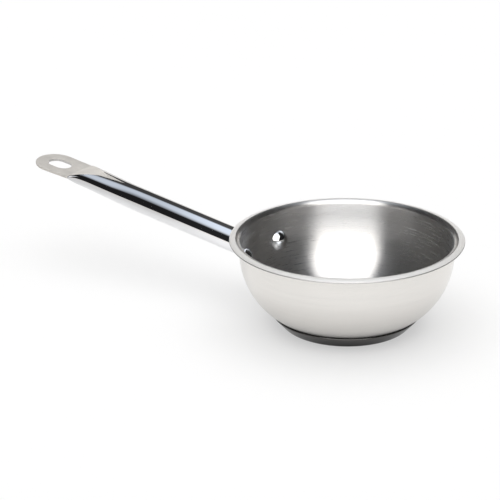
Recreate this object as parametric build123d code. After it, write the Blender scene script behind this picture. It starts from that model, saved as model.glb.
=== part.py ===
from build123d import *
import math
import os

# Saucier pan with an encapsulated base and a hollow tube handle.
# Millimetres, +Z up. The origin is the centre of the face that stands on the hob.
# The handle leaves the bowl towards -X, and the pan is symmetric about the XZ plane.

# Bowl: one spun sheet with a rounded belly and a flared pouring rim
wall_radius = 78.5
rim_height = 66.6
sheet = 1.0
upright_wall = 7.3
rim_overhang = 7.2
rim_bend = 2.6
rim_crown = 9.5
floor_radius_share = 0.529
corner_run_share = 0.54

# Encapsulated base: an aluminium disc under the bowl, closed by a pressed cap
cap_sheet = 0.6
core_thickness = 4.6
cap_height = 9.6
cap_widest_height = 8.6
cap_proud = 0.9
cap_flare = 7.8
cap_foot_fillet = 2.0
cap_shoulder_fillet = 0.8

# Handle: one oval tube, crushed flat at the far end and punched with a hanging slot
handle_height = 40.2
handle_rise_degrees = 9.7
handle_reach = 213.5
tube_width = 23.6
tube_height = 17.4
tube_wall = 1.0
crush_length = 72.0
flat_length = 40.0
flat_root_width = 31.6
flat_tip_width = 33.6
flat_offset = 1.8
flat_droop_degrees = 1.5
ramp_length = 23.5
slot_length = 20.0
slot_width = 14.0
slot_from_tip = 20.3

# The crush from round tube to flat end, stage by stage. Each list gives, at the place of its
# stage, how far the tube has spread, flattened and lifted, and how round its sides are.
crush_place_shares = [0.0, 0.10, 0.22, 0.36, 0.50, 0.64, 0.76, 0.86, 0.94, 1.0]
crush_spread_shares = [0.0, 0.0, 0.02, 0.08, 0.17, 0.25, 0.32, 0.44, 0.68, 1.0]
crush_flatten_shares = [0.0, 0.0, 0.015, 0.06, 0.12, 0.18, 0.23, 0.33, 0.58, 1.0]
crush_lift_shares = [0.0, 0.0, 0.03, 0.15, 0.38, 0.62, 0.78, 0.86, 0.92, 1.0]
crush_side_shares = [0.84, 0.84, 0.84, 0.84, 0.835, 0.83, 0.83, 0.85, 0.90, 0.985]

# Bracket: a stamped saddle on the wall, with a spigot inside the tube
bracket_sheet = 2.0
bracket_middle_radius = 14.5
ear_radius = 7.5
spigot_length = 14.0
spigot_wall = 1.4
spigot_clearance = 0.15

# Weld bead round the foot of the tube
weld_leg = 2.2
weld_toe = 0.15

# Rivets: domed head inside the bowl, upset tail outside the bracket
rivet_height = 40.8
rivet_spacing = 44.6
rivet_head_diameter = 15.5
rivet_head_side = 1.0
rivet_dome = 4.3
rivet_shank_diameter = 6.4
rivet_tail_diameter = 10.4
rivet_tail_dome = 2.0

# Heights, radii and angles that follow from the sizes above
lift = cap_sheet + core_thickness
floor_radius = wall_radius * floor_radius_share
corner_radius = (wall_radius - floor_radius) * corner_run_share
bend_height = rim_height - sheet - rim_bend
belly_top = bend_height - upright_wall
belly_run = wall_radius - floor_radius
belly_rise = belly_top - lift - corner_radius
belly_radius = (belly_run**2 + belly_rise**2 - corner_radius**2) / (2 * (belly_run - corner_radius))
belly_centre = wall_radius - belly_radius
corner_angle = math.degrees(math.atan2(belly_rise, floor_radius - belly_centre))
corner_top = lift + corner_radius * (1 - math.sin(math.radians(corner_angle)))
crown_sine = (rim_overhang - rim_bend - sheet / 2) / (rim_crown - sheet / 2)
crown_angle = math.degrees(math.asin(crown_sine))
flat_thickness = 2 * tube_wall
crush_start = handle_reach - flat_length - crush_length
ramp_start = handle_reach - flat_length - ramp_length
ramp_drop = tube_height / 2 - flat_offset - flat_thickness / 2
ramp_radius = (ramp_length**2 + ramp_drop**2) / (2 * ramp_drop)
ramp_turn = math.asin(ramp_length / ramp_radius)
handle_rise = math.radians(handle_rise_degrees)
along_handle = Vector(-math.cos(handle_rise), 0, math.sin(handle_rise))
above_handle = Vector(math.sin(handle_rise), 0, math.cos(handle_rise))


def belly_radius_at(height):
    """Outside radius of the bowl at a height between its floor and its upright wall."""
    if height < corner_top:
        return floor_radius + math.sqrt(corner_radius**2 - (lift + corner_radius - height) ** 2)
    return belly_centre + math.sqrt(belly_radius**2 - max(0, belly_top - height) ** 2)


def belly_tilt_at(height):
    """How far the wall's outward normal leans down at a height on the belly, in radians."""
    return math.asin(max(0, belly_top - height) / belly_radius)


def side_path(inward):
    """Floor, corner and belly, moved inward from the outside of the sheet."""
    corner = corner_radius - inward
    floor = Line((0, lift + inward), (floor_radius, lift + inward))
    corner_arc = CenterArc((floor_radius, lift + corner_radius), corner, -90, 90 - corner_angle)
    belly_arc = CenterArc((belly_centre, belly_top), belly_radius - inward, -corner_angle, corner_angle)
    return [floor, corner_arc, belly_arc]


def filled_bowl(inward):
    """Solid inside the side path, closed level with the rim."""
    side = wall_radius - inward
    closing = Polyline((side, belly_top), (side, rim_height), (0, rim_height), (0, lift + inward))
    return revolve(Plane.XZ * make_face(side_path(inward) + [closing]), Axis.Z)


def bowl_face():
    """Section of the spun sheet, from the axis to the rounded edge of the flared rim."""
    bend_centre = (wall_radius + rim_bend, bend_height)
    crown_centre = (wall_radius + rim_bend, rim_height - rim_crown)
    edge_turn = math.radians(90 - crown_angle)
    edge_middle = rim_crown - sheet / 2
    edge_x = crown_centre[0] + edge_middle * math.cos(edge_turn)
    edge_z = crown_centre[1] + edge_middle * math.sin(edge_turn)
    rim = [
        CenterArc(bend_centre, rim_bend, 180, -90),
        CenterArc(crown_centre, rim_crown - sheet, 90, -crown_angle),
        CenterArc((edge_x, edge_z), sheet / 2, -90 - crown_angle, 180),
        CenterArc(crown_centre, rim_crown, 90 - crown_angle, crown_angle),
        CenterArc(bend_centre, rim_bend + sheet, 90, 90),
    ]
    outer_wall = Line((wall_radius, belly_top), (wall_radius, bend_height))
    inner_wall = Line((wall_radius - sheet, bend_height), (wall_radius - sheet, belly_top))
    axis = Line((0, lift), (0, lift + sheet))
    return make_face(side_path(0) + [outer_wall] + rim + [inner_wall] + side_path(sheet) + [axis])


def base_solid(inward):
    """Filled base: foot, flared side and shoulder, moved inward from the outside of the cap."""
    neck = belly_radius_at(cap_height)
    widest = neck + cap_proud
    foot = widest - cap_flare
    right = [(foot, 0), (widest, cap_widest_height), (neck, cap_height)]
    left = [(-x, z) for x, z in reversed(right)]
    face = make_face(Polyline(*right, *left, close=True))
    face = fillet(face.vertices().filter_by_position(Axis.Y, 0, 0), cap_foot_fillet)
    shoulder = face.vertices().filter_by_position(Axis.Y, cap_widest_height, cap_widest_height)
    face = fillet(shoulder, cap_shoulder_fillet)
    if inward:
        face = offset(face, -inward)
    half = split(face, Plane.YZ, keep=Keep.TOP)
    return revolve(Plane.XZ * half, Axis.Z)


def oval(half_width, half_height, side_radius):
    """Oval of four tangent arcs, wider than it is high."""
    side_centre = half_width - side_radius
    top_radius = side_centre**2 + half_height**2 - side_radius**2
    top_radius = top_radius / (2 * (half_height - side_radius))
    reach = side_radius / (top_radius - side_radius)
    x = side_centre + side_centre * reach
    y = (top_radius - half_height) * reach
    arcs = [
        ThreePointArc((x, -y), (half_width, 0), (x, y)),
        ThreePointArc((x, y), (0, half_height), (-x, y)),
        ThreePointArc((-x, y), (-half_width, 0), (-x, -y)),
        ThreePointArc((-x, -y), (0, -half_height), (x, -y)),
    ]
    return make_face(arcs)


def handle_plane(along, up=0, droop_degrees=0):
    """Plane across the handle, at a distance from its foot: x runs across the pan and y up."""
    rise = handle_rise - math.radians(droop_degrees)
    foot = Vector(-belly_radius_at(handle_height) - bracket_sheet, 0, handle_height)
    middle = foot + along_handle * along + above_handle * up
    facing = Vector(-math.cos(rise), 0, math.sin(rise))
    return Plane(middle, x_dir=(0, -1, 0), z_dir=facing)


def crush_section(index, inward):
    """Section of the tube at one stage of the crush, moved inward by a wall."""
    spread = (flat_root_width - tube_width) * crush_spread_shares[index]
    flatten = (tube_height - flat_thickness) * crush_flatten_shares[index]
    half_width = (tube_width + spread) / 2
    half_height = (tube_height - flatten) / 2
    side_radius = half_height * crush_side_shares[index]
    along = crush_start + crush_length * crush_place_shares[index]
    lift_up = flat_offset * crush_lift_shares[index]
    plane = handle_plane(along, lift_up, flat_droop_degrees * crush_flatten_shares[index])
    return plane * oval(half_width - inward, half_height - inward, side_radius - inward)


def above_ramp(inward):
    """Space above the curved ramp that a die presses into the top of the crushed tube."""
    side_view = Plane(origin=handle_plane(0).origin, x_dir=along_handle, z_dir=(0, 1, 0))
    radius = ramp_radius - inward
    middle = (ramp_start, tube_height / 2 - ramp_radius)
    end_x = middle[0] + radius * math.sin(ramp_turn)
    end_y = middle[1] + radius * math.cos(ramp_turn)
    beyond = end_x + tube_height
    ramp = CenterArc(middle, radius, 90, -math.degrees(ramp_turn))
    level = [(end_x, end_y), (beyond, end_y), (beyond, tube_height)]
    back = [(ramp_start, tube_height), (ramp_start, middle[1] + radius)]
    face = make_face([ramp, Polyline(*level, *back)])
    return side_view * extrude(face, flat_tip_width, both=True)


def tube_solid(inward):
    """Straight tube and its crush under the ramp; the hollow stops short of the flat end."""
    start = crush_section(0, inward)
    straight = extrude(start, -(crush_start + tube_height / 2), dir=along_handle)
    stages = range(len(crush_place_shares) - (1 if inward else 0))
    crush = loft([crush_section(index, inward) for index in stages])
    return straight + (crush - above_ramp(inward))


def flat_end():
    """The flat end, with a round tip and an oval hanging slot punched through."""
    root = handle_plane(handle_reach - flat_length, flat_offset, flat_droop_degrees)
    half_thickness = flat_thickness / 2
    side_radius = half_thickness * crush_side_shares[-1]
    tip_radius = flat_tip_width / 2
    tip_middle = flat_length - tip_radius
    widening = (flat_tip_width - flat_root_width) / 2 * flat_length / tip_middle
    narrow = oval(flat_root_width / 2, half_thickness, side_radius)
    wide = Pos(0, 0, flat_length) * oval(flat_root_width / 2 + widening, half_thickness, side_radius)
    blank = root * loft([narrow, wide])
    lying = root * Plane(origin=(0, 0, 0), x_dir=(0, 0, 1), z_dir=(0, 1, 0))
    outline = Pos(tip_middle, 0) * Circle(tip_radius)
    outline += Pos(tip_middle - flat_length / 2, 0) * Rectangle(flat_length, flat_tip_width)
    slot = Pos(flat_length - slot_from_tip, 0) * SlotOverall(slot_length, slot_width)
    return blank & extrude(lying * (outline - slot), flat_thickness, both=True)


def handle_tube(saddle):
    """Hollow tube with its foot cut to the bracket's face and its far end crushed flat."""
    return tube_solid(0) + flat_end() - tube_solid(tube_wall) - saddle


def bracket_outline():
    """Two ears and a rounder middle, joined by straight tangent sides."""
    middle = Pos(0, handle_height) * Circle(bracket_middle_radius)
    left = Pos(-rivet_spacing / 2, rivet_height) * Circle(ear_radius)
    right = Pos(rivet_spacing / 2, rivet_height) * Circle(ear_radius)
    return make_hull((middle + left + right).edges())


def handle_bracket(bowl_fill, saddle, shanks):
    """Saddle that follows the wall, and the hollow spigot that stands in the tube."""
    facing = Plane(origin=(0, 0, 0), x_dir=(0, -1, 0), z_dir=(-1, 0, 0))
    strip = facing * extrude(bracket_outline(), wall_radius + bracket_sheet)
    plate = strip & (saddle - bowl_fill)
    inset = tube_wall + spigot_clearance
    outer = crush_section(0, inset)
    inner = crush_section(0, inset + spigot_wall)
    spigot = extrude(outer - inner, -(crush_start + tube_height / 2), dir=along_handle)
    spigot = spigot & handle_plane(0) * Box(tube_width, tube_height, 2 * spigot_length)
    return plate + (spigot - saddle) - shanks


def weld_section(outward, leg):
    """Oval on a plane parallel to the wall at the tube's foot, round the leaning tube."""
    tilt = belly_tilt_at(handle_height)
    lean = tilt + handle_rise
    middle = handle_plane(outward / math.cos(lean)).origin
    normal = Vector(-math.cos(tilt), 0, -math.sin(tilt))
    half_height = tube_height / 2 / math.cos(lean)
    side_radius = half_height * crush_side_shares[0]
    section = oval(tube_width / 2 + leg, half_height + leg, side_radius + leg)
    return Plane(middle, x_dir=(0, -1, 0), z_dir=normal) * section


def handle_weld(saddle):
    """Bead of weld in the corner between the tube and the bracket."""
    deep = weld_section(-weld_leg, weld_leg)
    face = weld_section(0, weld_leg)
    toe = weld_section(weld_leg, weld_toe)
    return loft([deep, face, toe], ruled=True) - tube_solid(0) - saddle


def rivet_plane(side):
    """Plane square to the wall at a rivet, on the outside of the bowl, facing outward."""
    radius = belly_radius_at(rivet_height)
    tilt = belly_tilt_at(rivet_height)
    across = side * rivet_spacing / 2
    along = -math.sqrt(radius**2 - across**2)
    level = Vector(along, across, 0) / radius
    normal = level * math.cos(tilt) - Vector(0, 0, math.sin(tilt))
    return Plane(Vector(along, across, rivet_height), z_dir=normal)


def dome(diameter, side, height):
    """Round head that stands on its plane: a short upright side under a spherical cap."""
    half = diameter / 2
    cap_radius = (half**2 + height**2) / (2 * height)
    sweep = math.degrees(math.asin(half / cap_radius))
    crown = CenterArc((0, side + height - cap_radius), cap_radius, 90 - sweep, sweep)
    rest = Polyline((0, side + height), (0, -half), (half, -half), (half, side))
    return revolve(Plane.XZ * make_face([crown, rest]), Axis.Z)


def rivet_shank(side):
    """Shank through wall and bracket, from inside the head to inside the tail."""
    inner_end = sheet + rivet_head_side
    outer_end = bracket_sheet + rivet_tail_dome / 2
    length = inner_end + outer_end
    shank = Cylinder(rivet_shank_diameter / 2, length)
    return rivet_plane(side) * Pos(0, 0, outer_end - length / 2) * shank


def rivet(side, cavity, saddle):
    """Rivet with its head seated on the inside of the wall and its tail on the bracket."""
    head = Rot(180, 0, 0) * dome(rivet_head_diameter, rivet_head_side, rivet_dome)
    head = rivet_plane(side) * Pos(0, 0, -sheet) * head
    tail = dome(rivet_tail_diameter, 0, rivet_tail_dome)
    tail = rivet_plane(side) * Pos(0, 0, bracket_sheet) * tail
    return (head & cavity) + (tail - saddle) + rivet_shank(side)


def pan():
    """Every piece of the pan by its name."""
    bowl_fill = filled_bowl(0)
    cavity = filled_bowl(sheet)
    saddle = filled_bowl(-bracket_sheet)
    shanks = rivet_shank(-1) + rivet_shank(1)
    return {
        "bowl": revolve(Plane.XZ * bowl_face(), Axis.Z) - shanks,
        "base_core": base_solid(cap_sheet) - bowl_fill,
        "base_cap": base_solid(0) - base_solid(cap_sheet) - bowl_fill,
        "handle_tube": handle_tube(saddle),
        "handle_bracket": handle_bracket(bowl_fill, saddle, shanks),
        "handle_weld": handle_weld(saddle),
        "rivet_near": rivet(-1, cavity, saddle),
        "rivet_far": rivet(1, cavity, saddle),
    }


os.makedirs("parts", exist_ok=True)
for name, piece in pan().items():
    export_step(piece, f"parts/{name}.step")
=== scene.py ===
import math

import bmesh
import bpy
from mathutils import Matrix, Vector


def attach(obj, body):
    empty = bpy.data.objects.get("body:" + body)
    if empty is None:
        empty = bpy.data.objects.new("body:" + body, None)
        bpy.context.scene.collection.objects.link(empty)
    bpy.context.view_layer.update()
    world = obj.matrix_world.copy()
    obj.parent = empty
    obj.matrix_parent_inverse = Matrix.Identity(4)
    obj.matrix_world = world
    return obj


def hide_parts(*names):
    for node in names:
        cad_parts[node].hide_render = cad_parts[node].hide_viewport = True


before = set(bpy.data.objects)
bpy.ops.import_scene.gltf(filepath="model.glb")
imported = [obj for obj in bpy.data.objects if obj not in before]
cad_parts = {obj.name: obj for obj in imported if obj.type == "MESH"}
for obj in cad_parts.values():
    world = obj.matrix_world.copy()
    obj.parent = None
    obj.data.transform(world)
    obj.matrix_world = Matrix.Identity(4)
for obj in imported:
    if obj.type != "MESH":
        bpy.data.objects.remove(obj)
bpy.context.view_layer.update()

# Saucier pan. Every size below is in millimetres and in degrees, in the frame of the solids,
# and a piece is scaled to metres when it is finished.
metres = 0.001

# Camera: its place, how far it turns left of +Y, how far it looks down, its roll and its lens
camera_place = (587.26, -1002.03, 513.79)
camera_heading = 33.853
camera_dip = 21.513
camera_roll = 0.702
camera_lens = 122.948

# Bowl
wall_radius = 78.5
rim_height = 66.6
sheet = 1.0
bend_height = 63.0
rim_bend = 2.6
rim_crown = 9.5
crown_angle = 26.9
floor_radius = 41.527
corner_radius = 19.966
corner_angle = 58.235
belly_top = 55.7
belly_centre = 22.621
lift = 5.2

# Base
cap_foot = 47.29
cap_widest = 55.09
cap_widest_height = 8.6
cap_neck = 54.19
cap_height = 9.6
cap_foot_round = 2.0
cap_shoulder_round = 0.8
cap_sheet = 0.6

# Handle: distances along it are from its foot. The die's ramp starts at ramp_start and shows
# as pressed satin from pressed_start.
handle_foot = (-78.308, 0, 40.2)
handle_rise = 9.7
handle_reach = 213.5
tube_width = 23.6
tube_height = 17.4
crush_start = 101.5
crush_length = 72.0
ramp_start = 116.0
ramp_power = 5.0
pressed_start = 134.0
flat_length = 40.0
flat_root_width = 31.6
flat_tip_width = 33.6
flat_thickness = 2.0
flat_offset = 1.8
flat_droop = 1.5
slot_length = 20.0
slot_width = 14.0
slot_from_tip = 20.3
slot_middle = flat_length - slot_from_tip
plate_round = 0.5
plate_overlap = 0.4
crush_place_shares = [0.0, 0.10, 0.22, 0.36, 0.50, 0.64, 0.76, 0.86, 0.94, 1.0]
crush_spread_shares = [0.0, 0.0, 0.02, 0.08, 0.17, 0.25, 0.32, 0.44, 0.68, 1.0]
crush_flatten_shares = [0.0, 0.0, 0.015, 0.06, 0.12, 0.18, 0.23, 0.33, 0.58, 1.0]
crush_lift_shares = [0.0, 0.0, 0.03, 0.15, 0.38, 0.62, 0.78, 0.86, 0.92, 1.0]
crush_side_shares = [0.84, 0.84, 0.84, 0.84, 0.835, 0.83, 0.83, 0.85, 0.90, 0.985]

# The tube's skin: it starts inside the bracket, its foot is cut along the wall, and its rings
# stand closer together over the first part of the crush
skin_start = -20
skin_middle = 40
foot_depth = 1.6
fine_length = 30
fine_rings = 10
crush_rings = 44

# The satin wedge on the tube's crown: where it starts along -X, and how much its half width
# and the crown's height grow with each mm from there
mark_start = 203.0
mark_half_width = 0.162
handle_climb = 0.171

# Rivets
rivet_height = 40.8
rivet_reach = 77.04
rivet_tilt = 13.14
rivet_across = 22.3
rivet_head_radius = 7.75
rivet_head_side = 1.0
rivet_dome = 4.3
rivet_tail_radius = 5.2
rivet_tail_dome = 2.0
rivet_tail_side = 0.1
bracket_sheet = 2.0

# The lip's satin starts this far inside the middle of the flare's arc, and the cut edge's
# finish this far outside the middle of the sheet's round edge
lip_margin = 0.15
edge_margin = 0.12

# Facets round the pan
round_steps = 224

# Studio: the way it faces, and its soft box on a ceiling one unit up. Its distances run ahead
# that way, its edges fade from the first value to the second, and it opens with the distance.
# The values named again are for second and later reflections.
studio_azimuth = -59.6
box_side_edge = (0.44, 0.20)
box_back_edge = (-1.0, -0.7)
box_front_edge = (3.2, 2.6)
box_opening = 0.38
box_step = 0.24
box_left_delay = 0.4
box_again_wider = 2.0
box_again_longer = 1.8
again_strengths = (2.6, 0.04)
room_dark = (0.018, 0.018, 0.019)
room_back = (0.07, 0.07, 0.07)
box_back_tone = (0.82, 0.90, 1.02)
box_front_tone = (2.7, 2.7, 2.7)
room_low = (0.98, 0.955, 0.93)
plain_strengths = (0.4, 2.0)


# Shapes

def arc(mesh, vert, centre, degrees, steps):
    """Carries a vertex round a centre in the XZ plane, turning from +X towards +Z."""
    made = bmesh.ops.spin(
        mesh, geom=[vert], cent=(centre[0], 0, centre[1]), axis=(0, -1, 0), dvec=(0, 0, 0),
        angle=math.radians(degrees), steps=steps, use_merge=False, use_duplicate=False)
    return [item for item in made["geom_last"] if isinstance(item, bmesh.types.BMVert)][0]


def line(mesh, vert, x, z):
    """Carries a vertex straight to a point of the XZ plane."""
    made = bmesh.ops.extrude_vert_indiv(mesh, verts=[vert])["verts"][0]
    made.co = (x, 0, z)
    return made


def turn_round(mesh, steps):
    """Turns a section in the XZ plane once round the Z axis."""
    bmesh.ops.spin(
        mesh, geom=mesh.verts[:] + mesh.edges[:], cent=(0, 0, 0), axis=(0, 0, 1), dvec=(0, 0, 0),
        angle=math.tau, steps=steps, use_merge=True, use_duplicate=False)


def clean(mesh):
    """Closes seams and poles, and points every face outward."""
    bmesh.ops.remove_doubles(mesh, verts=mesh.verts[:], dist=0.002)
    bmesh.ops.recalc_face_normals(mesh, faces=mesh.faces[:])


def keep_creases(mesh, degrees):
    """Smooth shading everywhere, except over edges that turn further than this."""
    for face in mesh.faces:
        face.smooth = True
    for edge in mesh.edges:
        if len(edge.link_faces) == 2:
            edge.smooth = edge.calc_face_angle() < math.radians(degrees)


def piece(mesh, name, node, materials):
    """Makes the finished object of a piece, which rides on the pan and stands for its solid."""
    bmesh.ops.scale(mesh, vec=(metres, metres, metres), verts=mesh.verts[:])
    data = bpy.data.meshes.new(name)
    mesh.to_mesh(data)
    mesh.free()
    for material in materials:
        data.materials.append(material)
    made = bpy.data.objects.new(name, data)
    bpy.context.scene.collection.objects.link(made)
    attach(made, "root")
    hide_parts(node)
    return made


def take_in(mesh, part):
    """Adds a finished part to a mesh as it stands."""
    data = bpy.data.meshes.new("part")
    part.to_mesh(data)
    part.free()
    mesh.from_mesh(data)
    bpy.data.meshes.remove(data)


def bowl_section(mesh):
    """Section of the spun sheet: inside from the axis to the rim, round the edge, outside back."""
    crown_x = wall_radius + rim_bend
    crown_z = rim_height - rim_crown
    edge_turn = math.radians(90 - crown_angle)
    edge_middle = rim_crown - sheet / 2
    edge = (crown_x + edge_middle * math.cos(edge_turn), crown_z + edge_middle * math.sin(edge_turn))
    vert = mesh.verts.new((0, 0, lift + sheet))
    vert = line(mesh, vert, floor_radius / 3, lift + sheet)
    vert = line(mesh, vert, floor_radius, lift + sheet)
    vert = arc(mesh, vert, (floor_radius, lift + corner_radius), 90 - corner_angle, 12)
    vert = arc(mesh, vert, (belly_centre, belly_top), corner_angle, 40)
    vert = line(mesh, vert, wall_radius - sheet, bend_height)
    vert = arc(mesh, vert, (crown_x, bend_height), -90, 14)
    vert = arc(mesh, vert, (crown_x, crown_z), -crown_angle, 10)
    vert = arc(mesh, vert, edge, -180, 10)
    vert = arc(mesh, vert, (crown_x, crown_z), crown_angle, 10)
    vert = arc(mesh, vert, (crown_x, bend_height), 90, 12)
    vert = line(mesh, vert, wall_radius, belly_top)
    vert = arc(mesh, vert, (belly_centre, belly_top), -corner_angle, 40)
    vert = arc(mesh, vert, (floor_radius, lift + corner_radius), corner_angle - 90, 12)
    line(mesh, vert, 0, lift)


def bowl_finish(face):
    """Which finish a face of the bowl has: outside 0, inside 1, lip 2 or cut edge 3."""
    middle = face.calc_center_median()
    reach = math.hypot(middle.x, middle.y)
    crown = wall_radius + rim_bend
    edge = crown + (rim_crown - sheet / 2) * math.sin(math.radians(crown_angle))
    outward = Vector((middle.x, middle.y, 0)).normalized()
    looks_in = face.normal.dot(outward) < -0.05 or (face.normal.z > 0.5 and middle.z < belly_top)
    if reach > edge + edge_margin:
        return 3
    if middle.z > bend_height and face.normal.z > 0.05:
        return 2 if reach > crown - lip_margin else 1
    return 1 if looks_in and middle.z < bend_height + 1 else 0


def make_bowl(outside, inside, lip, cut):
    """The bowl: polished outside, satin inside, a lip finished by its own belt, and a cut edge."""
    mesh = bmesh.new()
    bowl_section(mesh)
    turn_round(mesh, round_steps)
    clean(mesh)
    keep_creases(mesh, 60)
    for face in mesh.faces:
        face.material_index = bowl_finish(face)
    return piece(mesh, "bowl_spun", "bowl", [outside, inside, lip, cut])


def make_base_cap(material):
    """The cup pressed round the base: flat foot, flared side and rounded shoulder."""
    side_turn = math.degrees(math.atan2(cap_widest_height, cap_widest - cap_foot))
    shoulder_turn = math.degrees(math.atan2(cap_height - cap_widest_height, cap_neck - cap_widest))
    foot_run = cap_foot_round * math.tan(math.radians(side_turn / 2))
    shoulder_bend = shoulder_turn - side_turn
    shoulder_run = cap_shoulder_round * math.tan(math.radians(shoulder_bend / 2))
    side = (math.cos(math.radians(side_turn)), math.sin(math.radians(side_turn)))
    across = (-side[1], side[0])
    shoulder_start = (cap_widest - side[0] * shoulder_run, cap_widest_height - side[1] * shoulder_run)
    shoulder_centre = [start + out * cap_shoulder_round for start, out in zip(shoulder_start, across)]
    mesh = bmesh.new()
    vert = mesh.verts.new((0, 0, 0))
    vert = line(mesh, vert, cap_foot / 2, 0)
    vert = line(mesh, vert, cap_foot - foot_run, 0)
    vert = arc(mesh, vert, (cap_foot - foot_run, cap_foot_round), side_turn, 10)
    vert = line(mesh, vert, *shoulder_start)
    vert = arc(mesh, vert, shoulder_centre, shoulder_bend, 10)
    vert = line(mesh, vert, cap_neck, cap_height)
    vert = line(mesh, vert, cap_neck - cap_sheet, cap_height)
    vert = line(mesh, vert, cap_foot - foot_run, cap_sheet)
    line(mesh, vert, 0, cap_sheet)
    turn_round(mesh, round_steps)
    clean(mesh)
    keep_creases(mesh, 30)
    return piece(mesh, "base_cap_pressed", "base_cap", [material])


def across_handle(along, up=0, droop=0):
    """Places a section on the handle at a distance from its foot: x across the pan, y up."""
    rise = math.radians(handle_rise)
    facing = math.radians(handle_rise - droop)
    middle = Vector(handle_foot)
    middle += Vector((-math.cos(rise), 0, math.sin(rise))) * along
    middle += Vector((math.sin(rise), 0, math.cos(rise))) * up
    forward = Vector((-math.cos(facing), 0, math.sin(facing)))
    sideways = Vector((0, -1, 0))
    upward = forward.cross(sideways)
    return Matrix.Translation(middle) @ Matrix((sideways, upward, forward)).transposed().to_4x4()


def flat_line(mesh, vert, x, y):
    """Carries a vertex straight to a point of the XY plane."""
    made = bmesh.ops.extrude_vert_indiv(mesh, verts=[vert])["verts"][0]
    made.co = (x, y, 0)
    return made


def flat_arc(mesh, vert, centre, degrees, steps):
    """Carries a vertex round a centre in the XY plane."""
    made = bmesh.ops.spin(
        mesh, geom=[vert], cent=(centre[0], centre[1], 0), axis=(0, 0, 1), dvec=(0, 0, 0),
        angle=math.radians(degrees), steps=steps, use_merge=False, use_duplicate=False)
    return [item for item in made["geom_last"] if isinstance(item, bmesh.types.BMVert)][0]


def pressed_oval(mesh, half_width, half_height, side_radius, top, place):
    """Closed oval of tangent arcs, pressed flat at its top, at a place. Returns its edges."""
    before = set(mesh.edges)
    side = half_width - side_radius
    arch = (side**2 + half_height**2 - side_radius**2) / (2 * (half_height - side_radius))
    rise = arch - half_height
    joint = math.degrees(math.atan2(rise, side))
    ridge_on_side = top < side_radius * math.sin(math.radians(joint))
    first = mesh.verts.new(Matrix.Rotation(math.radians(-joint), 3, "Z") @ Vector((side_radius, 0, 0)))
    first.co.x += side
    if ridge_on_side:
        side_turn = joint + math.degrees(math.asin(top / side_radius))
        top_turn = 0
    else:
        side_turn = 2 * joint
        top_turn = math.degrees(math.asin(min(1, (top + rise) / arch))) - joint
    vert = flat_arc(mesh, first, (side, 0), side_turn, 14)
    vert = flat_arc(mesh, vert, (0, -rise), top_turn, 12)
    edge_x = vert.co.x
    for step in range(1, 7):
        vert = bmesh.ops.extrude_vert_indiv(mesh, verts=[vert])["verts"][0]
        vert.co.x = edge_x * (1 - step / 3)
    vert = flat_arc(mesh, vert, (0, -rise), top_turn, 12)
    vert = flat_arc(mesh, vert, (-side, 0), side_turn, 14)
    last = flat_arc(mesh, vert, (0, rise), 180 - 2 * joint, 22)
    bmesh.ops.weld_verts(mesh, targetmap={last: first})
    edges = [edge for edge in mesh.edges if edge not in before]
    verts = list({vert for edge in edges for vert in edge.verts})
    bmesh.ops.transform(mesh, matrix=place, verts=verts)
    return edges


def between(values, share):
    """Smooth value of a table over the stages of the crush."""
    places = crush_place_shares
    index = max(i for i in range(len(places) - 1) if places[i] <= share)
    run = places[index + 1] - places[index]
    part = (share - places[index]) / run

    def slope(i):
        low = max(i - 1, 0)
        high = min(i + 1, len(places) - 1)
        return (values[high] - values[low]) / (places[high] - places[low])

    start, end = values[index], values[index + 1]
    first, last = slope(index) * run, slope(index + 1) * run
    return (
        start * (1 + 2 * part) * (1 - part)**2 + first * part * (1 - part)**2
        + end * part**2 * (3 - 2 * part) - last * part**2 * (1 - part))


def ramp_height(along):
    """Height over the handle's axis that the die leaves at a distance from its foot."""
    drop = tube_height / 2 - flat_offset - flat_thickness / 2
    past = max(0, along - ramp_start) / (handle_reach - flat_length - ramp_start)
    return tube_height / 2 - drop * past**ramp_power


def tube_ring(mesh, along):
    """The tube's section at a distance from its foot."""
    share = min(1, max(0, (along - crush_start) / crush_length))
    flatten = between(crush_flatten_shares, share)
    half_width = (tube_width + (flat_root_width - tube_width) * between(crush_spread_shares, share)) / 2
    half_height = (tube_height - (tube_height - flat_thickness) * flatten) / 2
    side_radius = half_height * between(crush_side_shares, share)
    up = flat_offset * between(crush_lift_shares, share)
    top = min(half_height, ramp_height(along) - up)
    return pressed_oval(
        mesh, half_width, half_height, side_radius, top, across_handle(along, up, flat_droop * flatten))


def tube_skin(mesh):
    """Tube from inside the bracket to the flat end, bridged over its sections."""
    rest = crush_length - fine_length
    places = [skin_start, skin_middle, crush_start]
    places += [crush_start + fine_length * step / fine_rings for step in range(1, fine_rings + 1)]
    places += [crush_start + fine_length + rest * step / crush_rings for step in range(1, crush_rings + 1)]
    rings = [tube_ring(mesh, along) for along in places]
    for near, far in zip(rings, rings[1:]):
        bmesh.ops.bridge_loops(mesh, edges=near + far)
    clean(mesh)
    tilt = math.radians(rivet_tilt)
    normal = Vector((-math.cos(tilt), 0, -math.sin(tilt)))
    cut = Vector(handle_foot) - normal * foot_depth
    bmesh.ops.bisect_plane(
        mesh, geom=mesh.verts[:] + mesh.edges[:] + mesh.faces[:], plane_co=cut, plane_no=normal,
        dist=0.0001, clear_inner=True, clear_outer=False)
    bmesh.ops.holes_fill(mesh, edges=[edge for edge in mesh.edges if edge.is_boundary], sides=0)


def plate_outline(plate):
    """Outline of the flat end: sides that widen to a round tip."""
    tip_radius = flat_tip_width / 2
    tip_middle = flat_length - tip_radius
    first = plate.verts.new((flat_root_width / 2, -plate_overlap, 0))
    vert = flat_line(plate, first, tip_radius, tip_middle)
    vert = flat_arc(plate, vert, (0, tip_middle), 180, 48)
    vert = flat_line(plate, vert, -flat_root_width / 2, -plate_overlap)
    plate.edges.new((vert, first))


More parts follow.
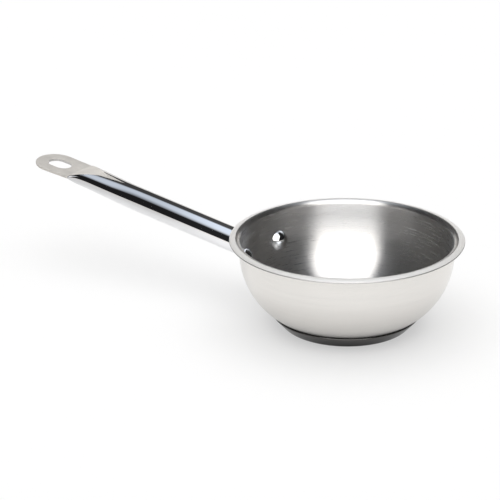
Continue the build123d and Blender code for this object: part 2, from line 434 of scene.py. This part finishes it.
def slot_outline(plate):
    """Outline of the hanging slot: straight sides between two round ends."""
    run = (slot_length - slot_width) / 2
    first = plate.verts.new((slot_width / 2, slot_middle - run, 0))
    vert = flat_line(plate, first, slot_width / 2, slot_middle + run)
    vert = flat_arc(plate, vert, (0, slot_middle + run), 180, 24)
    vert = flat_line(plate, vert, -slot_width / 2, slot_middle - run)
    last = flat_arc(plate, vert, (0, slot_middle - run), 180, 24)
    bmesh.ops.weld_verts(plate, targetmap={last: first})


def thicken_plate(plate):
    """Fills the outlines and gives them the thickness of the two walls pressed together."""
    bmesh.ops.triangle_fill(plate, edges=plate.edges[:], use_beauty=True)
    made = bmesh.ops.extrude_face_region(plate, geom=plate.faces[:])
    raised = [item for item in made["geom"] if isinstance(item, bmesh.types.BMVert)]
    bmesh.ops.translate(plate, vec=(0, 0, flat_thickness), verts=raised)
    bmesh.ops.translate(plate, vec=(0, 0, -flat_thickness / 2), verts=plate.verts[:])
    bmesh.ops.recalc_face_normals(plate, faces=plate.faces[:])


def break_plate_edges(plate):
    """Rounds the edges of the tip and of the slot."""
    rims = [edge for edge in plate.edges if edge.calc_face_angle(0) > 1.2
            and abs(edge.verts[0].co.z - edge.verts[1].co.z) < 0.01
            and max(edge.verts[0].co.y, edge.verts[1].co.y) > 0]
    bmesh.ops.bevel(
        plate, geom=rims, offset=plate_round, offset_type="OFFSET", segments=3, profile=0.5,
        affect="EDGES", clamp_overlap=True, material=-1)


def plate_finish(middle):
    """Which finish a face of the flat end has, by its middle: pressed 1 or punched 2."""
    in_slot = abs(middle.x) < slot_width / 2 + 0.1 and abs(middle.y - slot_middle) < slot_length / 2 + 0.1
    return 2 if in_slot and abs(middle.z) < flat_thickness / 2 - 0.2 else 1


def flat_plate(mesh):
    """Flat end with its round tip and its punched slot, both with broken edges."""
    plate = bmesh.new()
    plate_outline(plate)
    slot_outline(plate)
    thicken_plate(plate)
    break_plate_edges(plate)
    laid = Matrix(((1, 0, 0, 0), (0, 0, 1, 0), (0, 1, 0, 0), (0, 0, 0, 1)))
    place = across_handle(handle_reach - flat_length, flat_offset, flat_droop) @ laid
    bmesh.ops.transform(plate, matrix=place, verts=plate.verts[:])
    bmesh.ops.recalc_face_normals(plate, faces=plate.faces[:])
    to_plate = place.inverted()
    for face in plate.faces:
        face.material_index = plate_finish(to_plate @ face.calc_center_median())
    take_in(mesh, plate)


def make_handle(polished, pressed, punched):
    """Tube, crush and flat end in one piece; the pressed faces are satin."""
    mesh = bmesh.new()
    tube_skin(mesh)
    clean(mesh)
    to_handle = across_handle(0).inverted()
    for face in mesh.faces:
        middle = to_handle @ face.calc_center_median()
        on_ramp = middle.y > ramp_height(middle.z) - 0.05 and middle.z > pressed_start
        if on_ramp and (to_handle.to_3x3() @ face.normal).y > 0.6:
            face.material_index = 1
    flat_plate(mesh)
    keep_creases(mesh, 20)
    return piece(mesh, "handle_crushed", "handle_tube", [polished, pressed, punched])


def rivet_place(side):
    """Stands on the outside of the wall at a rivet, with z along the outward normal."""
    along = -math.sqrt(rivet_reach**2 - rivet_across**2)
    level = Vector((along, side * rivet_across, 0)) / rivet_reach
    tilt = math.radians(rivet_tilt)
    normal = level * math.cos(tilt) - Vector((0, 0, math.sin(tilt)))
    turn = Vector((0, 0, 1)).rotation_difference(normal).to_matrix().to_4x4()
    return Matrix.Translation((along, side * rivet_across, rivet_height)) @ turn


def button(radius, side, dome, seat):
    """Round head standing on z = 0, with a short upright side and a domed crown."""
    crown = (radius**2 + dome**2) / (2 * dome)
    sweep = math.degrees(math.asin(radius / crown))
    part = bmesh.new()
    vert = part.verts.new((0, 0, -seat))
    vert = line(part, vert, radius, -seat)
    vert = line(part, vert, radius, side)
    arc(part, vert, (0, side + dome - crown), sweep, 24)
    turn_round(part, 72)
    clean(part)
    soft = [edge for edge in part.edges if edge.calc_face_angle(0) > 0.3 and edge.verts[0].co.z > 0
            and edge.verts[1].co.z > 0 and abs(edge.verts[0].co.z - edge.verts[1].co.z) < 0.001]
    bmesh.ops.bevel(
        part, geom=soft, offset=min(0.35, side * 0.6 + 0.05), offset_type="OFFSET", segments=4,
        profile=0.5, affect="EDGES", clamp_overlap=True, material=-1)
    return part


def join(mesh, part, place):
    """Adds a part to a mesh at its place."""
    bmesh.ops.transform(part, matrix=place, verts=part.verts[:])
    bmesh.ops.recalc_face_normals(part, faces=part.faces[:])
    take_in(mesh, part)


def make_rivet(name, side, material):
    """Domed head inside the bowl and upset tail on the bracket."""
    mesh = bmesh.new()
    place = rivet_place(side)
    turned = Matrix.Rotation(math.pi, 4, "X")
    inside = Matrix.Translation((0, 0, -sheet)) @ turned
    join(mesh, button(rivet_head_radius, rivet_head_side, rivet_dome, seat=0.3), place @ inside)
    outside = Matrix.Translation((0, 0, bracket_sheet))
    join(mesh, button(rivet_tail_radius, rivet_tail_side, rivet_tail_dome, seat=0.8), place @ outside)
    keep_creases(mesh, 40)
    return piece(mesh, name + "_domed", name, [material])


# Materials

def add(tree, kind, **settings):
    """Adds a node with its settings."""
    made = tree.nodes.new(kind)
    for setting, value in settings.items():
        setattr(made, setting, value)
    return made


def feed(tree, socket, value):
    """Links a socket, or sets its own value."""
    if isinstance(value, bpy.types.NodeSocket):
        tree.links.new(value, socket)
    else:
        socket.default_value = value


def reckon(tree, operation, first, second=0.0):
    """One step of arithmetic."""
    made = add(tree, "ShaderNodeMath", operation=operation)
    feed(tree, made.inputs[0], first)
    feed(tree, made.inputs[1], second)
    return made.outputs[0]


def plus(tree, first, second):
    """Sum of two values."""
    return reckon(tree, "ADD", first, second)


def minus(tree, first, second):
    """Difference of two values."""
    return reckon(tree, "SUBTRACT", first, second)


def times(tree, first, second):
    """Product of two values."""
    return reckon(tree, "MULTIPLY", first, second)


def rescale(tree, value, low, high, new_low, new_high, smooth=False):
    """Maps one range to another, held at its ends."""
    made = add(tree, "ShaderNodeMapRange", interpolation_type="SMOOTHSTEP" if smooth else "LINEAR")
    for index, item in enumerate((value, low, high, new_low, new_high)):
        feed(tree, made.inputs[index], item)
    return made.outputs[0]


def noise(tree, vector, scale, detail=2.0, roughness=0.5):
    """Plain noise on a vector."""
    made = add(tree, "ShaderNodeTexNoise")
    feed(tree, made.inputs["Vector"], vector)
    feed(tree, made.inputs["Scale"], scale)
    feed(tree, made.inputs["Detail"], detail)
    feed(tree, made.inputs["Roughness"], roughness)
    return made.outputs["Fac"]


def vary(tree, value, low, high):
    """Spreads the middle of a noise, where most of it lies, over a range."""
    return rescale(tree, value, 0.3, 0.7, low, high)


def vector_of(tree, x, y, z):
    """Puts three values in one vector."""
    made = add(tree, "ShaderNodeCombineXYZ")
    for index, item in enumerate((x, y, z)):
        feed(tree, made.inputs[index], item)
    return made.outputs[0]


def parts_of(tree, vector):
    """The x, y and z of a vector."""
    parts = add(tree, "ShaderNodeSeparateXYZ")
    tree.links.new(vector, parts.inputs[0])
    return parts.outputs[0], parts.outputs[1], parts.outputs[2]


def place_on_pan(tree):
    """The point's place on the pan."""
    return add(tree, "ShaderNodeTexCoord").outputs["Object"]


def reach_of(tree, x, y):
    """How far a point is from the pan's axis."""
    return reckon(tree, "SQRT", plus(tree, times(tree, x, x), times(tree, y, y)))


def metal(name, colour, anisotropic=0.0):
    """A bare metal to work on: its material, its tree and its shader."""
    material = bpy.data.materials.new(name)
    material.use_nodes = True
    tree = material.node_tree
    shader = tree.nodes["Principled BSDF"]
    shader.inputs["Metallic"].default_value = 1.0
    shader.inputs["Base Color"].default_value = (*colour, 1)
    shader.inputs["Anisotropic"].default_value = anisotropic
    shader.inputs["Anisotropic Rotation"].default_value = 0.25 if anisotropic else 0.0
    return material, tree, shader


def turned_lines(tree, along, pitch):
    """Lines round the pan: how far they run, in turns, and how many to the metre across."""
    x, y, z = parts_of(tree, place_on_pan(tree))
    reach = reckon(tree, "MAXIMUM", reach_of(tree, x, y), 0.0001)
    level_x = times(tree, reckon(tree, "DIVIDE", x, reach), along)
    level_y = times(tree, reckon(tree, "DIVIDE", y, reach), along)
    across = times(tree, plus(tree, reach, z), pitch)
    return vector_of(tree, level_x, level_y, across)


def brush_round(tree, shader):
    """Turns the shine's streaks to run as brushing round the pan's axis gives them."""
    x, y, z = parts_of(tree, place_on_pan(tree))
    tree.links.new(vector_of(tree, times(tree, y, -1.0), x, 0.0), shader.inputs["Tangent"])


def shade(tree, shader, colour, factor):
    """Gives the shader a colour times a factor."""
    made = add(tree, "ShaderNodeVectorMath", operation="SCALE")
    feed(tree, made.inputs[0], colour)
    tree.links.new(factor, made.inputs["Scale"])
    tree.links.new(made.outputs[0], shader.inputs["Base Color"])


def tint(tree, shader, colour, value, amount):
    """Lets a colour vary in lightness by a small share."""
    shade(tree, shader, colour, vary(tree, value, 1 - amount, 1 + amount))


def relief(tree, shader, height, depth):
    """Bump of a given depth in metres."""
    made = add(tree, "ShaderNodeBump")
    made.inputs["Strength"].default_value = 1.0
    made.inputs["Distance"].default_value = depth
    tree.links.new(height, made.inputs["Height"])
    tree.links.new(made.outputs[0], shader.inputs["Normal"])


def spun_polish():
    """Outside of the bowl: polished while it turns, with a trace of the spinning lines."""
    colour = (0.79, 0.77, 0.74)
    material, tree, shader = metal("spun_polish", colour, anisotropic=0.8)
    brush_round(tree, shader)
    fine = noise(tree, turned_lines(tree, along=2.0, pitch=2600), scale=1.0, detail=3.0)
    broad = noise(tree, turned_lines(tree, along=1.0, pitch=300), scale=1.0, detail=2.0)
    tree.links.new(vary(tree, fine, 0.20, 0.26), shader.inputs["Roughness"])
    x, y, z = parts_of(tree, place_on_pan(tree))
    # Painted shade: the colour darkens towards the base and stands in for the floor's shadow seen in the
    # polish.
    painted_shade = rescale(tree, z, 0.0088, 0.0175, 0.42, 1.0, smooth=True)
    shade(tree, shader, colour, times(tree, painted_shade, vary(tree, broad, 0.985, 1.015)))
    relief(tree, shader, fine, depth=0.0000006)
    return material


def satin_inside():
    """Inside of the bowl: satin, brushed round and round, with a soft sheen over it."""
    colour = (0.80, 0.768, 0.73)
    material, tree, shader = metal("satin_inside", colour, anisotropic=1.0)
    shader.inputs["Coat Weight"].default_value = 1.0
    shader.inputs["Coat Roughness"].default_value = 0.4
    shader.inputs["Coat IOR"].default_value = 2.2
    brush_round(tree, shader)
    fine = noise(tree, turned_lines(tree, along=4.0, pitch=2400), scale=1.0, detail=3.0, roughness=0.6)
    broad = noise(tree, turned_lines(tree, along=2.0, pitch=500), scale=1.0, detail=3.0)
    tree.links.new(vary(tree, fine, 0.26, 0.33), shader.inputs["Roughness"])
    tint(tree, shader, colour, broad, amount=0.03)
    relief(tree, shader, fine, depth=0.0000005)
    return material


def lip_satin():
    """Lip: a close, even satin run round the flare."""
    colour = (0.93, 0.915, 0.89)
    material, tree, shader = metal("lip_satin", colour)
    shader.inputs["Metallic"].default_value = 0.35
    fine = noise(tree, turned_lines(tree, along=9.0, pitch=1800), scale=1.0, detail=3.0)
    tree.links.new(vary(tree, fine, 0.40, 0.50), shader.inputs["Roughness"])
    tint(tree, shader, colour, fine, amount=0.015)
    relief(tree, shader, fine, depth=0.000002)
    return material


def base_turning():
    """Pressed cap: polished side with painted shade, darkest at its foot, and an underside turned in
    rings.
    """
    colour = (0.80, 0.78, 0.75)
    material, tree, shader = metal("base_turning", colour, anisotropic=0.4)
    brush_round(tree, shader)
    rings = noise(tree, turned_lines(tree, along=1.2, pitch=1500), scale=1.0, detail=3.0)
    tree.links.new(vary(tree, rings, 0.12, 0.24), shader.inputs["Roughness"])
    x, y, z = parts_of(tree, place_on_pan(tree))
    # Painted shade: the side's colour is painted dark, darkest at the foot, for the floor's shadow that it
    # reflects. The underside is a little darker.
    painted_foot_shade = rescale(tree, z, 0.0, 0.0115, 0.0, 0.17, smooth=True)
    on_side = rescale(tree, reach_of(tree, x, y), 0.0462, 0.0474, 0.0, 1.0)
    painted_shade = rescale(tree, on_side, 0.0, 1.0, 0.95, painted_foot_shade)
    shade(tree, shader, colour, times(tree, painted_shade, vary(tree, rings, 0.97, 1.03)))
    relief(tree, shader, rings, depth=0.000003)
    return material


def die_mark(tree, away, y, crown):
    """The wedge that the die leaves on the tube's crown before its ramp."""
    half_width = times(tree, away, mark_half_width)
    inside = minus(tree, half_width, reckon(tree, "ABSOLUTE", y))
    wedge = rescale(tree, inside, -0.0002, 0.0002, 0.0, 1.0)
    return times(tree, wedge, reckon(tree, "GREATER_THAN", crown, 0.062))


def handle_polish():
    """Mirror polish of the tube, with a few hairlines from handling and the die's satin mark."""
    colour = (0.78, 0.78, 0.79)
    material, tree, shader = metal("handle_polish", colour)
    place = place_on_pan(tree)
    x, y, z = parts_of(tree, place)
    hairs = noise(tree, vector_of(tree, times(tree, x, 12.0), y, z), scale=220.0, detail=3.0)
    haze = noise(tree, place, scale=60.0, detail=2.0)
    polish = plus(
        tree, rescale(tree, hairs, 0.45, 0.75, 0.02, 0.05), rescale(tree, haze, 0.4, 0.7, 0.0, 0.02))
    away = minus(tree, times(tree, x, -1.0), mark_start * metres)
    crown = minus(tree, z, times(tree, away, handle_climb))
    mark = die_mark(tree, away, y, crown)
    tree.links.new(rescale(tree, mark, 0.0, 1.0, polish, 0.6), shader.inputs["Roughness"])
    tree.links.new(rescale(tree, mark, 0.0, 1.0, 1.0, 0.3), shader.inputs["Metallic"])
    blend = add(tree, "ShaderNodeMix", data_type="RGBA")
    tree.links.new(mark, blend.inputs["Factor"])
    blend.inputs[6].default_value = (*colour, 1)
    blend.inputs[7].default_value = (0.68, 0.65, 0.61, 1)
    # Painted light and shade: along its upper part the tube is painted lighter near the pan and darker
    # towards its end, and it is painted lighter below that.
    painted_light_and_shade = rescale(tree, x, -0.17, -0.10, 0.79, 1.14, smooth=True)
    painted_light_and_shade = rescale(tree, crown, 0.0575, 0.0625, 1.12, painted_light_and_shade)
    tone = times(tree, vary(tree, haze, 0.98, 1.02), reckon(tree, "MAXIMUM", painted_light_and_shade, mark))
    shade(tree, shader, blend.outputs[2], tone)
    relief(tree, shader, noise(tree, place, scale=45.0, detail=1.0), depth=0.000004)
    return material


def pressed_satin():
    """The pressed faces of the flat end: an even satin from the dies, with painted light on the ramp."""
    colour = (0.64, 0.612, 0.575)
    material, tree, shader = metal("pressed_satin", colour)
    shader.inputs["Metallic"].default_value = 0.3
    shader.inputs["Specular IOR Level"].default_value = 0.3
    place = place_on_pan(tree)
    x, y, z = parts_of(tree, place)
    grain = noise(tree, vector_of(tree, x, times(tree, y, 6.0), z), scale=700.0, detail=3.0)
    cloud = noise(tree, place, scale=90.0, detail=2.0)
    tree.links.new(vary(tree, grain, 0.56, 0.66), shader.inputs["Roughness"])
    # Painted light: the ramp is painted lighter than the flat end.
    painted_ramp_light = rescale(tree, x, -0.2500, -0.2480, 0.0, 0.1)
    lightness = plus(tree, times(tree, cloud, 0.2), plus(tree, painted_ramp_light, 0.4))
    tint(tree, shader, colour, lightness, amount=0.4)
    relief(tree, shader, grain, depth=0.00001)
    return material


def punched_edge():
    """Cut edges of the sheet and the wall of the slot: darker, with fine shear marks."""
    colour = (0.52, 0.51, 0.50)
    material, tree, shader = metal("punched_edge", colour)
    x, y, z = parts_of(tree, place_on_pan(tree))
    shear = noise(tree, vector_of(tree, x, y, times(tree, z, 0.1)), scale=2200.0, detail=2.0)
    tree.links.new(vary(tree, shear, 0.30, 0.45), shader.inputs["Roughness"])
    tint(tree, shader, colour, shear, amount=0.08)
    relief(tree, shader, shear, depth=0.00001)
    return material


def rivet_polish():
    """Polished rivet heads, a little dulled in fine specks."""
    colour = (0.80, 0.79, 0.77)
    material, tree, shader = metal("rivet_polish", colour)
    place = place_on_pan(tree)
    specks = noise(tree, place, scale=900.0, detail=3.0)
    tree.links.new(rescale(tree, specks, 0.4, 0.7, 0.04, 0.12), shader.inputs["Roughness"])
    tint(tree, shader, colour, noise(tree, place, scale=300.0), amount=0.02)
    relief(tree, shader, specks, depth=0.000002)
    return material


def bracket_satin():
    """Stamped bracket: bright, with a fine tumbled grain."""
    colour = (0.74, 0.73, 0.715)
    material, tree, shader = metal("bracket_satin", colour)
    place = place_on_pan(tree)
    grain = noise(tree, place, scale=1600.0, detail=3.0)
    tree.links.new(vary(tree, grain, 0.20, 0.30), shader.inputs["Roughness"])
    tint(tree, shader, colour, noise(tree, place, scale=150.0), amount=0.03)
    relief(tree, shader, grain, depth=0.00001)
    return material


def weld_ripple():
    """Weld bead: ripples round the tube and a trace of straw tint."""
    colour = (0.70, 0.67, 0.61)
    material, tree, shader = metal("weld_ripple", colour)
    place = place_on_pan(tree)
    x, y, z = parts_of(tree, place)
    turn = reckon(tree, "ARCTAN2", y, minus(tree, z, handle_foot[2] * metres))
    wobble = times(tree, noise(tree, place, scale=300.0), 2.0)
    ripple = reckon(tree, "SINE", plus(tree, times(tree, turn, 46.0), wobble))
    tree.links.new(rescale(tree, ripple, -1.0, 1.0, 0.22, 0.40), shader.inputs["Roughness"])
    tint(tree, shader, colour, rescale(tree, ripple, -1.0, 1.0, 0.3, 0.7), amount=0.06)
    relief(tree, shader, ripple, depth=0.00006)
    return material


def disc_aluminium():
    """Sealed aluminium disc: plain sawn and rolled metal."""
    colour = (0.75, 0.75, 0.76)
    material, tree, shader = metal("disc_aluminium", colour)
    x, y, z = parts_of(tree, place_on_pan(tree))
    rolled = noise(tree, vector_of(tree, x, times(tree, y, 20.0), z), scale=120.0, detail=2.0)
    tree.links.new(vary(tree, rolled, 0.35, 0.5), shader.inputs["Roughness"])
    tint(tree, shader, colour, rolled, amount=0.04)
    relief(tree, shader, rolled, depth=0.00001)
    return material


def dress(node, material):
    """Gives a carried-over solid its finish."""
    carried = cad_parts[node]
    if carried.data.materials:
        for index in range(len(carried.data.materials)):
            carried.data.materials[index] = material
    else:
        carried.data.materials.append(material)


# Stage

def fade(tree, value, start, end):
    """Rises smoothly from 0 at the start to 1 at the end."""
    return rescale(tree, value, start, end, 0.0, 1.0, smooth=True)


def fade_degrees(tree, angle, start, end):
    """Rises smoothly between two angles in degrees."""
    return fade(tree, angle, math.radians(start), math.radians(end))


def mirror_rays(tree, seen):
    """1 for what metal and glass see, 0 for the rest."""
    return reckon(tree, "MAXIMUM", seen.outputs["Is Glossy Ray"], seen.outputs["Is Transmission Ray"])


def soft_box(tree, ahead, left, again):
    """Share of the soft box on the ceiling. It widens ahead, and is larger in second reflections."""
    wider = times(tree, reckon(tree, "MAXIMUM", ahead, 0.0), box_opening)
    later = minus(tree, ahead, rescale(tree, left, -0.01, 0.01, 0.0, box_left_delay))
    wider = plus(tree, wider, rescale(tree, later, -0.05, 0.25, 0.0, box_step))
    wider_again = rescale(tree, ahead, -0.3, -0.05, box_again_wider, 0.0)
    wider = plus(tree, wider, times(tree, again, wider_again))
    beside = minus(tree, reckon(tree, "ABSOLUTE", left), wider)
    behind = plus(tree, ahead, times(tree, again, box_again_longer))
    ends = times(tree, fade(tree, behind, *box_back_edge), fade(tree, ahead, *box_front_edge))
    return times(tree, fade(tree, beside, *box_side_edge), ends)


def room_tone(tree, aside, height, ahead, box):
    """What steel reflects: a dark room, its paler back, the box, and white low down all round."""
    flank = times(tree, fade_degrees(tree, aside, 64, 76), fade_degrees(tree, aside, 160, 150))
    low = times(tree, fade_degrees(tree, height, 14, 10), minus(tree, 1.0, flank))
    front_of_box = times(tree, box, fade(tree, ahead, -0.3, 0.6))
    back = fade_degrees(tree, aside, 110, 150)
    tone = vector_of(tree, *room_dark)
    layers = ((back, room_back), (box, box_back_tone), (front_of_box, box_front_tone), (low, room_low))
    for share, colour in layers:
        mix = add(tree, "ShaderNodeMix", data_type="VECTOR")
        tree.links.new(share, mix.inputs["Factor"])
        tree.links.new(tone, mix.inputs[4])
        mix.inputs[5].default_value = colour
        tone = mix.outputs[1]
    return tone


def light(tree, colour, strength):
    """A background light."""
    made = add(tree, "ShaderNodeBackground")
    feed(tree, made.inputs["Color"], colour)
    feed(tree, made.inputs["Strength"], strength)
    return made.outputs[0]


def choose(tree, share, first, second):
    """The first shader where the share is 0, the second where it is 1."""
    made = add(tree, "ShaderNodeMixShader")
    for index, item in enumerate((share, first, second)):
        feed(tree, made.inputs[index], item)
    return made.outputs[0]


def new_world():
    """An empty world that is sampled plainly."""
    world = bpy.data.worlds.new("studio")
    bpy.context.scene.world = world
    world.use_nodes = True
    world.cycles.sampling_method = "NONE"
    world.node_tree.nodes.clear()
    return world.node_tree


def studio():
    """White surroundings, plain light from above, and the room that polished steel reflects."""
    tree = new_world()
    turn = add(tree, "ShaderNodeVectorRotate", rotation_type="Z_AXIS")
    tree.links.new(add(tree, "ShaderNodeTexCoord").outputs["Generated"], turn.inputs["Vector"])
    turn.inputs["Angle"].default_value = math.radians(-studio_azimuth)
    x, y, z = parts_of(tree, turn.outputs[0])
    aside = reckon(tree, "ABSOLUTE", reckon(tree, "ARCTAN2", y, x))
    height = reckon(tree, "ARCSINE", z)
    up = reckon(tree, "MAXIMUM", z, 0.01)
    ahead = reckon(tree, "DIVIDE", x, up)
    left = reckon(tree, "DIVIDE", y, times(tree, up, -1.0))
    seen = add(tree, "ShaderNodeLightPath")
    again = reckon(tree, "GREATER_THAN", seen.outputs["Glossy Depth"], 1.5)
    tone = room_tone(tree, aside, height, ahead, soft_box(tree, ahead, left, again))
    again_strength = rescale(tree, ahead, -0.3, -0.05, *again_strengths)
    room = light(tree, tone, rescale(tree, again, 0.0, 1.0, 1.0, again_strength))
    above = rescale(tree, height, math.radians(36), math.radians(64), *plain_strengths, smooth=True)
    plain = light(tree, (1, 1, 1, 1), above)
    white = light(tree, (1, 1, 1, 1), 1.0)
    direct = reckon(tree, "LESS_THAN", seen.outputs["Diffuse Depth"], 0.5)
    shine = times(tree, mirror_rays(tree, seen), direct)
    lit = choose(tree, shine, plain, room)
    out = add(tree, "ShaderNodeOutputWorld")
    tree.links.new(choose(tree, seen.outputs["Is Camera Ray"], lit, white), out.inputs[0])


def pale_floor():
    """Pale floor paint, partly of its own light for the camera and for reflections."""
    material = bpy.data.materials.new("pale_floor")
    material.use_nodes = True
    tree = material.node_tree
    shader = tree.nodes["Principled BSDF"]
    shader.inputs["Roughness"].default_value = 1.0
    shader.inputs["Specular IOR Level"].default_value = 0.0
    tint(tree, shader, (0.945, 0.945, 0.945), noise(tree, place_on_pan(tree), scale=2.0), amount=0.003)
    seen = add(tree, "ShaderNodeLightPath")
    for_camera = times(tree, seen.outputs["Is Camera Ray"], 0.5)
    share = plus(tree, for_camera, times(tree, mirror_rays(tree, seen), 0.32))
    own_light = add(tree, "ShaderNodeEmission").outputs[0]
    mixed = choose(tree, share, shader.outputs[0], own_light)
    tree.links.new(mixed, tree.nodes["Material Output"].inputs[0])
    return material


def make_floor():
    """Plain pale floor that keeps the pan's shadow."""
    mesh = bmesh.new()
    bmesh.ops.create_grid(mesh, x_segments=8, y_segments=8, size=9)
    data = bpy.data.meshes.new("floor")
    mesh.to_mesh(data)
    mesh.free()
    data.materials.append(pale_floor())
    made = bpy.data.objects.new("floor", data)
    bpy.context.scene.collection.objects.link(made)


def make_camera():
    """Camera at the photograph's viewing angle."""
    data = bpy.data.cameras.new("camera")
    data.sensor_width = 36
    data.lens = camera_lens
    made = bpy.data.objects.new("camera", data)
    turn = Matrix.Rotation(math.radians(camera_heading), 4, "Z")
    look = Matrix.Rotation(math.radians(90 - camera_dip), 4, "X")
    roll = Matrix.Rotation(math.radians(-camera_roll), 4, "Z")
    made.matrix_world = Matrix.Translation(Vector(camera_place) * metres) @ turn @ look @ roll
    bpy.context.scene.collection.objects.link(made)
    bpy.context.scene.camera = made


make_camera()
make_floor()
studio()
bpy.context.scene.view_settings.view_transform = "Standard"

cut_finish = punched_edge()
make_bowl(spun_polish(), satin_inside(), lip_satin(), cut_finish)
make_base_cap(base_turning())
make_handle(handle_polish(), pressed_satin(), cut_finish)
rivet_finish = rivet_polish()
make_rivet("rivet_near", -1, rivet_finish)
make_rivet("rivet_far", 1, rivet_finish)
dress("handle_bracket", bracket_satin())
dress("handle_weld", weld_ripple())
dress("base_core", disc_aluminium())
